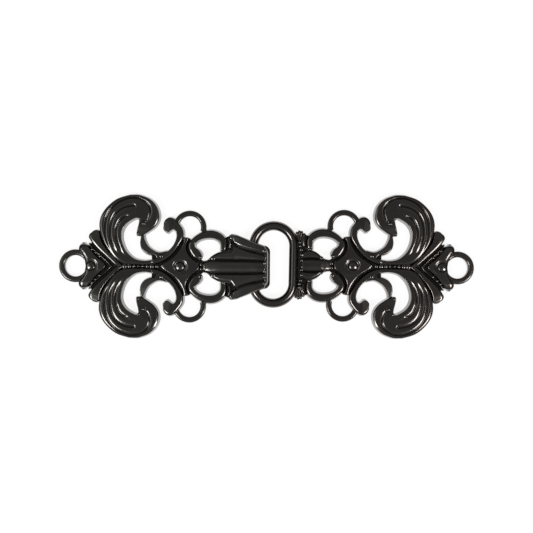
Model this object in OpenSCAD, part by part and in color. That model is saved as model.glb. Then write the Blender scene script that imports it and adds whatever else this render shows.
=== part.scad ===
// Filigree cloak clasp: two cast halves with the same pierced scrollwork, a hook and a ring, shown fastened.
// Millimetres, +Z up. The clasp lies on its flat back at z = 0, centred, with its length along X.
// Each half is drawn with its end ring beside the origin and X towards the middle of the clasp.
// The ornament is the same on both sides of a half's centre line, so only y >= 0 is drawn, then mirrored.

/* [Clasp] */
// Distance between the origins of the two halves
half_span = 70; // [69.6:0.05:70.3]
// Turn of the hook half about its origin, degrees
hook_turn = -0.45; // [-1:0.05:0]
// Turn of the eye half about its origin, degrees
eye_turn = -1.1; // [-1.5:0.05:-0.6]
// Offset of the hook half across the clasp
hook_shift = 0.14; // [0:0.005:0.3]
// Offset of the eye half across the clasp
eye_shift = -0.275; // [-0.4:0.005:0]

/* [Casting] */
// Height of the casting over its flat back, at the boss of the star
cast_h = 2.6; // [2.2:0.1:2.8]
// How far a side wall leans in between the back and its shoulder
lean = 0.2; // [0.1:0.02:0.3]
// Height of a shoulder as a share of the crest above it
shoulder = 0.86; // [0.8:0.02:0.9]
// Thickness of the low web that joins the scrolls, as a share of the casting's height
web_share = 0.34; // [0.25:0.01:0.4]

/* [Rings] */
// Centre of an end ring, from the origin of its half
end_ring_at = 0.12; // [0:0.02:0.2]
// Radius of the hole in an end ring
end_hole_r = 1.93; // [1.8:0.01:1.95]
// Outer radius of an end ring
end_ring_r = 3.02; // [2.95:0.01:3.1]
// Height of an end ring
end_ring_h = 1.6; // [1.4:0.1:1.8]
// Radius of the hole in a sewing loop
loop_hole_r = 2.0; // [1.9:0.05:2.05]
// Outer radius of a sewing loop
loop_r = 3.05; // [3:0.05:3.1]
// Height of a sewing loop
loop_h = 1.4; // [1.2:0.1:1.6]
// Radius of the rounding along the tops of the rings and loops
ring_edge = 0.32; // [0.2:0.02:0.4]
// Centre of a sewing loop, along and across its half
loop_at = [20.95, 7.2];

/* [Fastening] */
// Thickness of the wire of the D ring
wire_d = 1.7; // [1.6:0.05:1.75]
// Radius of the D ring's ends to the middle of its wire
dring_r = 3.65; // [3.5:0.05:3.7]
// Straight length of the D ring across the clasp
dring_straight = 6.8; // [6.4:0.1:7]
// Distance from the eye half's origin to the middle of the D ring
dring_x = 33.75; // [33.6:0.05:33.9]
// Height of the middle of the D ring's wire
dring_z = 1.85; // [1.8:0.01:1.9]
// Length of the hook half from its origin to the face of its bend
hook_end = 35.65; // [35.5:0.05:35.7]
// Height of the hook half, at the end of its fan
hook_h = 3.7; // [3.65:0.05:3.9]
// Half the width of the bend at its foot
bend_w = 3.98; // [3.8:0.02:4.1]
// Thickness of the tongue and of the bend
tongue_t = 0.8; // [0.6:0.05:0.9]
// Length of the tongue under the fan, from the face of the bend
tongue_l = 4.2; // [3.8:0.1:4.4]
// Half the width of the tongue
tongue_w = 3; // [2.5:0.1:3.2]

/* [Hidden] */

overlap = 0.1;
facets = 24;
lift = cast_h / 2.6;
// Each web has its own height, so that no two of their tops lie in one plane.
web_h = web_share * cast_h;
side_web_h = 1.1 * web_h;
collar_web_h = 1.25 * web_h;
// Height of the underside of the fan over the tongue.
fan_under = 2.85;

// Ribbons. Each row is a rib across the ribbon, in the order given:
// outer x, outer y, inner x, inner y, height of the underside, height of the crest,
// then for each groove its place from 0 at the outer edge to 1 at the inner edge, and its depth.
leaf_ribs = [
    [14.10, 0.08, 13.95, 1.38, 0, 2.00, 0.25, 0.00, 0.50, 0.00, 0.75, 0.00],
    [12.80, 0.06, 12.70, 1.25, 0, 2.00, 0.25, 0.00, 0.50, 0.00, 0.75, 0.00],
    [10.60, 0.10, 11.25, 1.52, 0, 2.05, 0.25, 0.00, 0.50, 0.00, 0.75, 0.00],
    [8.70, 0.28, 10.22, 2.22, 0, 2.10, 0.22, 0.00, 0.45, 0.00, 0.70, 0.00],
    [7.20, 1.22, 9.42, 3.22, 0, 2.20, 0.20, 0.00, 0.42, 0.00, 0.68, 0.10],
    [6.05, 2.70, 8.90, 4.56, 0, 2.30, 0.18, 0.05, 0.40, 0.20, 0.68, 0.35],
    [5.05, 4.35, 8.78, 5.70, 0, 2.35, 0.20, 0.30, 0.42, 0.40, 0.68, 0.42],
    [4.45, 6.20, 8.98, 6.60, 0, 2.40, 0.24, 0.42, 0.45, 0.44, 0.68, 0.44],
    [4.30, 7.90, 9.30, 7.18, 0, 2.40, 0.26, 0.44, 0.46, 0.46, 0.70, 0.44],
    [4.78, 9.55, 9.70, 7.66, 0, 2.40, 0.23, 0.44, 0.44, 0.46, 0.69, 0.44],
    [5.92, 11.12, 10.20, 8.04, 0, 2.40, 0.19, 0.42, 0.41, 0.44, 0.70, 0.42],
    [7.62, 12.45, 10.68, 8.32, 0, 2.40, 0.17, 0.40, 0.42, 0.42, 0.76, 0.00],
    [9.70, 13.15, 11.05, 8.50, 0, 2.40, 0.15, 0.40, 0.45, 0.42, 0.76, 0.00],
    [11.85, 13.20, 11.35, 8.54, 0, 2.40, 0.18, 0.40, 0.51, 0.00, 0.76, 0.00],
    [13.75, 12.48, 11.50, 8.46, 0, 2.40, 0.27, 0.42, 0.58, 0.00, 0.76, 0.00],
    [15.02, 11.25, 11.55, 8.25, 0, 2.40, 0.36, 0.42, 0.60, 0.00, 0.76, 0.00],
    [15.62, 9.65, 11.50, 7.95, 0, 2.35, 0.48, 0.38, 0.64, 0.00, 0.76, 0.00],
    [15.46, 8.20, 11.40, 7.55, 0, 2.32, 0.56, 0.24, 0.66, 0.00, 0.76, 0.00],
    [14.72, 7.02, 11.25, 7.05, 0, 2.28, 0.56, 0.08, 0.66, 0.00, 0.76, 0.00],
    [13.70, 6.25, 11.12, 6.50, 0, 2.20, 0.50, 0.00, 0.60, 0.00, 0.75, 0.00],
    [13.08, 5.86, 11.04, 5.98, 0, 2.15, 0.25, 0.00, 0.50, 0.00, 0.75, 0.00],
    [12.66, 5.60, 11.10, 5.66, 0, 2.10, 0.25, 0.00, 0.50, 0.00, 0.75, 0.00],
];
scroll_ribs = [
    [16.15, 7.55, 16.35, 6.38, 0, 2.15],
    [16.20, 8.20, 16.60, 6.05, 0, 2.20],
    [16.55, 8.80, 17.05, 5.95, 0, 2.25],
    [17.20, 9.15, 17.42, 6.18, 0, 2.30],
    [18.00, 9.02, 17.72, 6.44, 0, 2.30],
    [18.70, 8.50, 17.97, 6.50, 0, 2.25],
    [19.32, 7.80, 18.20, 6.34, 0, 2.20],
    [19.86, 7.00, 18.32, 6.02, 0, 2.15],
    [20.08, 6.10, 18.36, 5.50, 0, 2.15],
    [19.96, 5.15, 18.18, 4.75, 0, 2.15],
    [19.38, 3.98, 17.74, 3.88, 0, 2.15],
    [18.48, 2.66, 17.00, 3.08, 0, 2.10],
    [17.25, 1.42, 16.05, 2.55, 0, 2.05],
    [15.80, 0.55, 15.10, 1.85, 0, 2.05],
    [14.20, 0.15, 14.00, 1.42, 0, 2.03],
    [13.10, 0.30, 13.05, 0.95, 0, 1.50],
];
branch_ribs = [
    [17.20, 1.70, 16.75, 3.05, 0, 2.00],
    [15.90, 1.20, 15.60, 2.80, 0, 2.02],
    [15.15, 1.25, 14.95, 2.90, 0, 2.02],
    [14.65, 1.78, 14.50, 3.12, 0, 2.00],
    [13.80, 1.85, 13.86, 3.56, 0, 1.95],
    [12.75, 2.28, 13.42, 4.06, 0, 1.90],
    [12.00, 3.12, 13.12, 4.62, 0, 1.85],
    [11.74, 4.10, 12.96, 5.02, 0, 1.80],
    [11.78, 4.95, 12.88, 5.36, 0, 1.75],
    [11.92, 5.70, 12.86, 5.78, 0, 1.70],
];
wing_ribs = [
    [3.05, 6.20, 4.25, 6.60, 0, 1.95, 0.60, 0.00],
    [2.58, 5.78, 4.62, 6.42, 0, 2.00, 0.60, 0.03],
    [2.42, 5.25, 4.75, 5.90, 0, 2.05, 0.60, 0.05],
    [2.68, 4.72, 4.85, 5.20, 0, 2.10, 0.60, 0.05],
    [3.36, 3.76, 5.25, 4.22, 0, 2.10, 0.60, 0.05],
    [4.36, 2.70, 6.00, 3.10, 0, 2.05, 0.60, 0.05],
    [5.36, 1.80, 6.80, 2.18, 0, 2.00, 0.60, 0.05],
    [6.28, 0.95, 7.52, 1.40, 0, 1.95, 0.60, 0.05],
    [7.10, 0.15, 8.30, 0.72, 0, 1.90, 0.60, 0.00],
    [7.60, -0.20, 8.90, 0.18, 0, 1.80, 0.60, 0.00],
];
chevron_ribs = [
    [2.45, 3.95, 2.85, 4.20, 0, 1.60],
    [3.10, 2.95, 3.60, 3.35, 0, 1.75],
    [4.05, 2.05, 4.55, 2.45, 0, 1.80],
    [5.10, 1.15, 5.60, 1.55, 0, 1.80],
    [5.95, 0.30, 6.50, 0.65, 0, 1.75],
    [6.35, -0.20, 7.00, 0.05, 0, 1.65],
];
shield_ribs = [
    [1.15, 4.12, 1.95, 4.18, 0, 1.50],
    [0.78, 3.75, 2.45, 3.85, 0, 1.85],
    [0.62, 3.10, 3.00, 3.20, 0, 2.00],
    [0.90, 2.55, 3.45, 2.60, 0, 2.05],
    [1.35, 1.85, 4.05, 1.90, 0, 2.10],
    [1.68, 1.15, 4.85, 1.15, 0, 2.15],
    [1.80, 0.50, 5.60, 0.50, 0, 2.20],
    [1.82, -overlap, 5.95, -overlap, 0, 2.20],
];
star_ribs = [
    [19.65, 5.25, 21.05, 5.12, 0, 2.00],
    [19.50, 4.20, 20.62, 4.20, 0, 2.05],
    [18.85, 3.10, 20.58, 3.10, 0, 2.10],
    [18.05, 2.10, 21.08, 2.10, 0, 2.15],
    [17.12, 1.30, 21.80, 1.30, 0, 2.20],
    [16.42, 0.85, 22.45, 0.85, 0, 2.20],
    [15.75, 0.40, 22.85, 0.40, 0, 2.20],
    [15.38, -overlap, 22.95, -overlap, 0, 2.20],
];
lobe_ribs = [
    [22.35, 0.98, 23.22, 1.45, 0, 1.90],
    [21.45, 1.60, 23.42, 2.28, 0, 2.05],
    [20.82, 2.45, 22.95, 3.08, 0, 2.05],
    [20.42, 3.40, 22.32, 3.55, 0, 2.05],
    [20.55, 4.42, 22.18, 3.95, 0, 2.05],
    [21.20, 5.20, 22.46, 4.28, 0, 2.05],
    [22.02, 5.92, 23.00, 4.64, 0, 2.05],
    [23.18, 6.56, 23.80, 4.88, 0, 2.05],
    [24.65, 6.90, 24.72, 4.95, 0, 2.05],
    [26.08, 6.66, 25.50, 4.82, 0, 2.05],
    [27.25, 5.92, 26.08, 4.46, 0, 2.05],
    [27.88, 4.92, 26.35, 4.05, 0, 2.05],
    [28.00, 3.90, 26.40, 3.60, 0, 2.05],
    [27.85, 3.00, 26.38, 3.15, 0, 2.00],
    [27.45, 2.35, 26.45, 2.68, 0, 1.80],
];
// Middle flutes of the hook half's fan, from its neck to its bend. Past the throat they stand clear of the back.
fan_ribs = [
    [23.40, 1.15, 23.40, -1.15, 0, 2.60, 0.08, 0.00, 0.92, 0.00],
    [23.80, 1.20, 23.80, -1.20, 0, 2.80, 0.08, 0.00, 0.92, 0.00],
    [24.30, 1.40, 24.30, -1.40, 0, 2.92, 0.12, 0.15, 0.88, 0.15],
    [25.10, 2.15, 25.10, -2.15, 0, 3.02, 0.21, 0.30, 0.79, 0.30],
    [26.30, 2.78, 26.30, -2.78, 0, 3.14, 0.28, 0.36, 0.72, 0.36],
    [27.60, 3.00, 27.60, -3.00, 0, 3.23, 0.30, 0.36, 0.70, 0.36],
    [28.60, 3.15, 28.60, -3.15, 0, 3.30, 0.31, 0.36, 0.69, 0.36],
    [29.20, 3.90, 29.20, -3.90, 0, 3.34, 0.35, 0.36, 0.65, 0.36],
    [29.50, 3.85, 29.50, -3.85, 2.55, 3.36, 0.35, 0.36, 0.65, 0.36],
    [30.30, 3.50, 30.30, -3.50, 2.80, 3.42, 0.33, 0.36, 0.67, 0.36],
    [31.70, 3.05, 31.70, -3.05, fan_under, 3.52, 0.31, 0.36, 0.69, 0.36],
    [33.40, 2.65, 33.40, -2.65, fan_under, 3.66, 0.29, 0.36, 0.71, 0.36],
    [34.62, 2.38, 34.62, -2.38, fan_under, 3.70, 0.28, 0.34, 0.72, 0.34],
];
// Outer flute of the same fan, which starts behind the lobe and turns down over the edge.
edge_flute_ribs = [
    [28.32, 5.96, 28.98, 4.05, 0, 3.05],
    [28.72, 6.12, 29.22, 3.80, 0, 3.20],
    [29.50, 5.90, 29.50, 3.65, 2.50, 3.30],
    [30.30, 5.58, 30.30, 3.32, 2.80, 3.39],
    [31.70, 5.02, 31.70, 2.88, fan_under, 3.50],
    [33.40, 4.36, 33.40, 2.48, fan_under, 3.64],
    [34.62, 3.92, 34.62, 2.22, fan_under, 3.68],
];
// Short fan of the eye half, which ends at the collar in front of the D ring.
short_fan_ribs = [
    [23.40, 1.15, 23.40, -1.15, 0, 1.95, 0.10, 0.00, 0.90, 0.00],
    [23.95, 1.20, 23.95, -1.20, 0, 2.10, 0.10, 0.00, 0.90, 0.00],
    [24.60, 1.42, 24.60, -1.42, 0, 2.18, 0.14, 0.10, 0.86, 0.10],
    [25.10, 1.82, 25.10, -1.82, 0, 2.25, 0.20, 0.25, 0.80, 0.25],
    [25.80, 2.40, 25.80, -2.40, 0, 2.28, 0.25, 0.35, 0.75, 0.35],
    [26.70, 2.80, 26.70, -2.80, 0, 2.32, 0.28, 0.35, 0.72, 0.35],
    [27.60, 2.85, 27.60, -2.85, 0, 2.35, 0.29, 0.35, 0.71, 0.35],
    [28.55, 2.45, 28.55, -2.45, 0, 2.35, 0.28, 0.35, 0.72, 0.35],
];
// Low web between the short fan and the D ring.
collar_web = [[28.2, -0.3], [28.2, 2.5], [29.5, 2.5], [29.5, -0.3]];
// Bar of the collar along the D ring, and the ridge that runs from the lobe to it.
collar_ribs = [
    [29.12, 5.80, 29.75, 5.80, 0, 1.80],
    [29.10, 3.20, 29.75, 3.20, 0, 2.00],
    [29.10, -overlap, 29.75, -overlap, 0, 2.00],
];
ridge_ribs = [
    [27.75, 5.35, 28.15, 5.50, 0, 1.70],
    [28.02, 4.35, 28.48, 4.50, 0, 1.95],
    [28.25, 3.30, 28.80, 3.45, 0, 1.80],
];
// Pleats that spread over each end of the collar: foot and tip of each on the plan.
pleats = [
    [28.80, 3.90, 28.10, 5.85],
    [29.05, 4.10, 28.62, 6.25],
    [29.25, 4.30, 29.10, 6.35],
    [29.45, 4.40, 29.58, 6.10],
];
pleat_w = 0.56;
pleat_h = 1.95;
// Along a pleat: place from foot to tip, share of its width, share of its height.
pleat_steps = [[0, 0.5, 1], [0.5, 1, 1], [0.9, 1, 1], [1, 0.5, 0.75]];

// Low webs that close the dark gaps between the scrolls without piercing: corners of half the outline.
front_web = [
    [1.9, -overlap], [1.9, 2.2], [2.6, 3.6], [3.2, 4.6], [4.6, 5.0], [6.0, 3.4],
    [8.4, 1.0], [14.0, 0.6], [14.0, 1.15], [14.0, 2.2], [15.8, 2.3], [17.6, 3.0],
    [18.8, 4.9], [19.8, 5.1], [20.9, 5.0], [21.1, 3.6], [22.2, 2.6], [23.0, 1.4],
    [23.6, 0.95], [23.6, -overlap],
];
side_web = [
    [26.9, 2.0], [27.3, 3.2], [27.35, 4.6], [27.5, 5.4], [28.7, 5.9], [29.3, 5.6], [29.35, 2.0],
];

// Beads in the groove between the stems: place of the first, spacing and radius.
bead_first = 9.0;
bead_step = 0.95;
bead_count = 8;
bead_r = 0.3;
bead_z = 0.95;

// Steps of the hook's bend from its foot up: height of the top, how far its face is set back and its sides are in.
bend_steps = [
    [1.25, 0, 0],
    [3.05, 0.35, 0.28],
    [3.32, 0.6, 0.5],
];
bend_corner = 1.15;

// Bosses: place along the half and height of the dome.
shield_boss = [3, 2.35];
star_boss = [19.25, 2.6];
boss_r = 0.78;
ditch_r = 0.95;
ditch_w = 0.3;
boss_turn = 3;

// Value on the smooth curve through b and c, at t from 0 to 1.
function curve(a, b, c, d, t) =
    b + t * (c - a) / 2 + t * t * (a - 2.5 * b + 2 * c - d / 2) + t * t * t * (1.5 * (b - c) + (d - a) / 2);

// Rows with smooth rows put between them, so many to each gap.
function smooth(rows, steps) =
    let (last = len(rows) - 1)
    [
        for (i = [0 : last - 1], k = [0 : steps - 1])
            curve(rows[max(i - 1, 0)], rows[i], rows[i + 1], rows[min(i + 2, last)], k / steps),
        rows[last]
    ];

// Height of a ribbon's top between its shoulders, at u from 0 to 1 across it.
function arch(u, low, high) = low + (high - low) * (1 - pow(abs(2 * u - 1), 2.2));

// Outline of a rib: up the outer wall, over the crests and grooves, down the inner wall.
function rib(row) =
    let (
        outer = [row[0], row[1]],
        inner = [row[2], row[3]],
        under = row[4],
        crest = under == 0 ? row[5] * lift : row[5],
        low = under + (crest - under) * shoulder,
        cuts = floor((len(row) - 6) / 2),
        edge = min(0.3, lean / norm(inner - outer)),
        places = [for (k = [0 : 1 : cuts - 1]) max(edge, min(1 - edge, row[6 + 2 * k]))],
        depths = [for (k = [0 : 1 : cuts - 1]) row[7 + 2 * k]],
        stops = concat([edge], places, [1 - edge]),
        spots = cuts == 0
            ? [[edge, low], [0.28, arch(0.28, low, crest)], [0.5, crest], [0.72, arch(0.72, low, crest)]]
            : [for (k = [0 : cuts]) each [
                [stops[k], k == 0 ? low : arch(stops[k], low, crest) - depths[k - 1]],
                [(stops[k] + stops[k + 1]) / 2, arch((stops[k] + stops[k + 1]) / 2, low, crest)]]],
        profile = concat([[0, under]], spots, [[1 - edge, low], [1, under]])
    )
    [for (p = profile) let (at = outer + p[0] * (inner - outer)) [at[0], at[1], p[1]]];

// Closed skin over a list of outlines with the same number of points.
module skin(outlines) {
    n = len(outlines[0]);
    m = len(outlines);
    polyhedron(
        points = [for (outline = outlines) each outline],
        faces = concat(
            [[for (j = [0 : n - 1]) j]],
            [[for (j = [n - 1 : -1 : 0]) (m - 1) * n + j]],
            [for (i = [0 : m - 2], j = [0 : n - 1]) let (k = (j + 1) % n) each [
                [i * n + j, (i + 1) * n + j, (i + 1) * n + k],
                [i * n + j, (i + 1) * n + k, i * n + k]]]),
        convexity = 8);
}

// Whether a ribbon's ribs run on to the left of the way from their outer to their inner ends.
function runs_left(ribs) =
    let (a = ribs[0], b = ribs[len(ribs) > 2 ? 2 : 1])
    cross([a[2] - a[0], a[3] - a[1]], [b[0] + b[2] - a[0] - a[2], b[1] + b[3] - a[1] - a[3]]) > 0;

module ribbon(ribs, steps) {
    rows = [for (row = smooth(ribs, steps)) rib(row)];
    skin(runs_left(ribs) ? rows : [for (i = [len(rows) - 1 : -1 : 0]) rows[i]]);
}

// The drawn side and its mirror image.
module both_sides() {
    children();
    mirror([0, 1, 0]) children();
}

// Domed boss standing in a round ditch, cut into the children.
module bossed(boss) {
    difference() {
        children();
        translate([boss[0], 0, 0]) rotate([0, 0, boss_turn]) rotate_extrude($fn = facets)
            translate([ditch_r - ditch_w / 2, 1.45 * lift]) square([ditch_w, cast_h]);
    }
    translate([boss[0], 0, 0]) rotate([0, 0, boss_turn]) rotate_extrude($fn = facets)
        polygon([[0, 0], [boss_r, 0], [boss_r, 0.72 * boss[1] * lift], [0.8 * boss_r, 0.86 * boss[1] * lift],
            [0.45 * boss_r, 0.96 * boss[1] * lift], [0, boss[1] * lift]]);
}

// Everything that both halves share: shield, chevron, wings, leaves, scrolls, star and lobes.
module ornament() {
    bossed(shield_boss) both_sides() ribbon(shield_ribs, 1);
    bossed(star_boss) both_sides() ribbon(star_ribs, 1);
    both_sides() {
        ribbon(chevron_ribs, 1);
        ribbon(wing_ribs, 1);
        ribbon(leaf_ribs, 2);
        ribbon(scroll_ribs, 1);
        ribbon(branch_ribs, 1);
        ribbon(lobe_ribs, 1);
        linear_extrude(web_h) polygon(front_web);
        linear_extrude(side_web_h) polygon(side_web);
    }
    for (k = [0 : bead_count - 1])
        translate([bead_first + k * bead_step, 0, bead_z * lift]) sphere(bead_r, $fn = 8);
}

// Ring or part of one with a flat back, upright walls and a flat top with rounded edges.
module flat_ring(inner_r, outer_r, height, from, angle) {
    w = outer_r - inner_r;
    rotate([0, 0, from]) rotate_extrude(angle = angle, $fn = 96)
        translate([inner_r, 0]) {
            square([w, height - ring_edge]);
            translate([ring_edge, 0]) square([w - 2 * ring_edge, height]);
            for (x = [ring_edge, w - ring_edge])
                translate([x, height - ring_edge]) circle(ring_edge, $fn = 48);
        }
}

module end_ring() {
    translate([end_ring_at, 0, 0]) flat_ring(end_hole_r, end_ring_r, end_ring_h, 0, 360);
}

// The hole goes through the ring and the corner of the shield that reaches into it.
module end_hole() {
    translate([end_ring_at, 0, -1]) cylinder(r = end_hole_r, h = cast_h + 2, $fn = 96);
}

module sewing_loops() {
    both_sides() translate([loop_at[0], loop_at[1], 0])
        flat_ring(loop_hole_r, loop_r, loop_h, -18, 174);
}

// Rectangle from one place along the half to another, with both far corners rounded.
module plate(from, to, half_w, corner_r, height) {
    linear_extrude(height) {
        translate([from, -half_w]) square([to - corner_r - from, 2 * half_w]);
        translate([from, corner_r - half_w]) square([to - from, 2 * (half_w - corner_r)]);
        for (side = [-1, 1])
            translate([to - corner_r, side * (half_w - corner_r)]) circle(corner_r, $fn = 48);
    }
}

// Bend and tongue of the hook: steps that end the fan, hollow above the tongue for the bar of the D ring.
module hook_bend() {
    back = hook_end - tongue_l;
    inside = hook_end - tongue_t;
    difference() {
        for (step = bend_steps)
            plate(inside - 1, hook_end - step[1], bend_w - step[2], bend_corner, step[0]);
        translate([back, -bend_w - 1, tongue_t]) cube([tongue_l - tongue_t, 2 * bend_w + 2, fan_under - tongue_t]);
    }
    linear_extrude(tongue_t) translate([back, -tongue_w]) square([inside + 0.3 - back, 2 * tongue_w]);
}

// Half of the collar, whose pleats are short ribbons that widen towards their tips.
module collar() {
    linear_extrude(collar_web_h) polygon(collar_web);
    ribbon(collar_ribs, 1);
    ribbon(ridge_ribs, 1);
    for (p = pleats) {
        way = [p[2] - p[0], p[3] - p[1]] / norm([p[2] - p[0], p[3] - p[1]]);
        side = [-way[1], way[0]] * pleat_w / 2;
        ribbon([for (step = pleat_steps) let (
                at = [p[0], p[1]] + step[0] * [p[2] - p[0], p[3] - p[1]],
                half = step[1] * side)
            [at[0] + half[0], at[1] + half[1], at[0] - half[0], at[1] - half[1], 0, pleat_h * step[2]]], 1);
    }
}

// D ring: two half rings joined by two straight bars.
module d_ring() {
    translate([dring_x, 0, dring_z]) for (side = [-1, 1]) {
        translate([0, side * dring_straight / 2, 0])
            rotate([0, 0, side > 0 ? 0 : 180]) rotate_extrude(angle = 180, $fn = 96)
                translate([dring_r, 0]) circle(d = wire_d, $fn = 48);
        translate([side * dring_r, 0, 0]) rotate([90, 0, 0])
            cylinder(d = wire_d, h = dring_straight, center = true, $fn = 48);
    }
}

module hook_half() {
    color([0.17, 0.16, 0.15]) translate([-half_span / 2, hook_shift, 0]) rotate([0, 0, hook_turn])
        difference() {
            union() {
                resize([0, 0, hook_h]) union() {
                    ornament();
                    ribbon(fan_ribs, 1);
                    both_sides() ribbon(edge_flute_ribs, 1);
                }
                end_ring();
                sewing_loops();
                hook_bend();
            }
            end_hole();
        }
}

module eye_half() {
    color([0.19, 0.165, 0.15]) translate([half_span / 2, eye_shift, 0]) rotate([0, 0, eye_turn])
        mirror([1, 0, 0]) difference() {
            union() {
                resize([0, 0, cast_h]) union() {
                    ornament();
                    ribbon(short_fan_ribs, 1);
                    both_sides() collar();
                }
                end_ring();
                sewing_loops();
                d_ring();
            }
            end_hole();
        }
}

hook_half();
eye_half();
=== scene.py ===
import math

import bpy
import numpy as np
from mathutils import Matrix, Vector


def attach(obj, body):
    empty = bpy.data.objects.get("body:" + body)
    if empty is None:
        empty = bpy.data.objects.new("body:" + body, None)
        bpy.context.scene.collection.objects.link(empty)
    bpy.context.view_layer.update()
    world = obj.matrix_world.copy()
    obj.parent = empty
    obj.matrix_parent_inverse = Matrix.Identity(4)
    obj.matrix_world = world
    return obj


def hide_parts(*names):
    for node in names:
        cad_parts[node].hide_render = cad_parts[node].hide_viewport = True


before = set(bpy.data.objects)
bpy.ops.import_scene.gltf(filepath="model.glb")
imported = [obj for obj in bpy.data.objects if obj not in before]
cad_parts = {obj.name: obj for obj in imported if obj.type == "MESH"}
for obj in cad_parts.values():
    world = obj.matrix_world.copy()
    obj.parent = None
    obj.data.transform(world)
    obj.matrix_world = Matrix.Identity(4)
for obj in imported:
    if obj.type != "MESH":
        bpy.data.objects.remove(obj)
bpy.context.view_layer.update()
print("frame loaded:", ", ".join(sorted(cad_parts)))

# Sizes are in millimetres until a piece is finished. A half is drawn with its end ring beside the origin,
# x towards the middle of the clasp, and only the side with y above 0, which is then mirrored.

casting = {
    "lean": 0.2,  # how far a wall leans in between the back and its shoulder
    "fall": 0.25,  # how far the shoulder lies below the crest
    "softness": 0.1,  # reach of the rounding over a shoulder
    "round": 0.45, "innerRound": 0.45,  # how far the rounding of the top reaches in from each shoulder
    "crown": 2,  # higher keeps more of that reach flat
    "ridge": 2,  # higher is a flatter ridge between two grooves
    "swell": 0.26,  # share of a groove's depth that the ridges beside it fall by
    "scratch": 0.4,  # share of a groove's depth in the fine line along its bottom
    "scratchWidth": 0.085,
    "tipReach": 0.22,  # how far a free tip bulges past its last rib
}
# What each kind of ornament has unlike the rest of the casting.
leafLook = {"fall": 0.19, "round": 0.6, "innerRound": 0.16, "swell": 0.25, "scratch": 0.2,
            "scratchWidth": 0.15}
scrollLook = {"fall": 0.21, "round": 0.5, "innerRound": 0.15}
branchLook = {"fall": 0.15, "round": 0.22, "innerRound": 0.15}
lobeLook = {"lean": 0.24, "fall": 0.2, "round": 0.55, "innerRound": 0.2}
wingLook = {"lean": 0.12, "fall": 0.2, "round": 0.65, "innerRound": 0.25}
shieldLook = {"lean": 0.12, "fall": 0.26, "round": 0.85, "innerRound": 0.3}
starLook = {"lean": 0.12, "fall": 0.21, "round": 0.6, "innerRound": 0.3}
edgeLook = {"lean": 0.1, "fall": 0.3, "round": 0.3, "innerRound": 0.65, "crown": 1.3}
ridgeLook = {"lean": 0.05, "fall": 0.15, "softness": 0.04, "round": 0.24, "innerRound": 0.24}
fanLook = {"lean": 0.1, "fall": 0.27, "round": 0.75, "innerRound": 0.75, "crown": 2.5, "ridge": 3,
           "swell": 0.8, "scratch": 0.2, "scratchWidth": 0.14}
collarLook = {"crown": 2.5}

# Rows are ribs across a ribbon of metal: outer x, outer y, inner x, inner y, underside, crest,
# then for each groove its place from 0 at the outer edge to 1 at the inner edge, and its depth.
leafRibs = [
    [14.10, 0.08, 13.95, 1.38, 0, 2.00, 0.25, 0.00, 0.50, 0.00, 0.75, 0.00],
    [12.80, 0.06, 12.70, 1.25, 0, 2.00, 0.25, 0.00, 0.50, 0.00, 0.75, 0.00],
    [10.60, 0.10, 11.25, 1.52, 0, 2.05, 0.25, 0.00, 0.50, 0.00, 0.75, 0.00],
    [8.70, 0.28, 10.22, 2.22, 0, 2.10, 0.22, 0.00, 0.45, 0.00, 0.70, 0.00],
    [7.20, 1.22, 9.42, 3.22, 0, 2.20, 0.20, 0.00, 0.42, 0.00, 0.68, 0.10],
    [6.05, 2.70, 8.90, 4.56, 0, 2.30, 0.18, 0.05, 0.40, 0.20, 0.68, 0.35],
    [5.05, 4.35, 8.78, 5.70, 0, 2.35, 0.20, 0.30, 0.42, 0.40, 0.68, 0.42],
    [4.45, 6.20, 8.98, 6.60, 0, 2.40, 0.24, 0.42, 0.45, 0.44, 0.68, 0.44],
    [4.30, 7.90, 9.30, 7.18, 0, 2.40, 0.26, 0.44, 0.46, 0.46, 0.70, 0.44],
    [4.78, 9.55, 9.70, 7.66, 0, 2.40, 0.23, 0.44, 0.44, 0.46, 0.69, 0.44],
    [5.92, 11.12, 10.20, 8.04, 0, 2.40, 0.19, 0.42, 0.41, 0.44, 0.70, 0.42],
    [7.62, 12.45, 10.68, 8.32, 0, 2.40, 0.17, 0.40, 0.42, 0.42, 0.76, 0.00],
    [9.70, 13.15, 11.05, 8.50, 0, 2.40, 0.15, 0.40, 0.45, 0.42, 0.76, 0.00],
    [10.50, 13.24, 11.17, 8.52, 0, 2.40, 0.16, 0.40, 0.47, 0.38, 0.76, 0.00],
    [11.20, 13.26, 11.27, 8.53, 0, 2.40, 0.17, 0.40, 0.49, 0.00, 0.76, 0.00],
    [12.05, 13.15, 11.37, 8.52, 0, 2.40, 0.19, 0.30, 0.52, 0.00, 0.76, 0.00],
    [13.75, 12.48, 11.50, 8.46, 0, 2.40, 0.25, 0.42, 0.58, 0.00, 0.76, 0.00],
    [15.02, 11.25, 11.55, 8.25, 0, 2.40, 0.35, 0.42, 0.60, 0.00, 0.76, 0.00],
    [15.62, 9.65, 11.50, 7.95, 0, 2.35, 0.51, 0.30, 0.64, 0.00, 0.76, 0.00],
    [15.46, 8.20, 11.40, 7.55, 0, 2.32, 0.56, 0.00, 0.66, 0.00, 0.76, 0.00],
    [14.72, 7.02, 11.25, 7.05, 0, 2.28, 0.56, 0.00, 0.66, 0.00, 0.76, 0.00],
    [13.70, 6.25, 11.12, 6.50, 0, 2.20, 0.50, 0.00, 0.60, 0.00, 0.75, 0.00],
    [13.08, 5.86, 11.04, 5.98, 0, 2.15, 0.25, 0.00, 0.50, 0.00, 0.75, 0.00],
    [12.66, 5.60, 11.10, 5.66, 0, 2.10, 0.25, 0.00, 0.50, 0.00, 0.75, 0.00],
]
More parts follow.
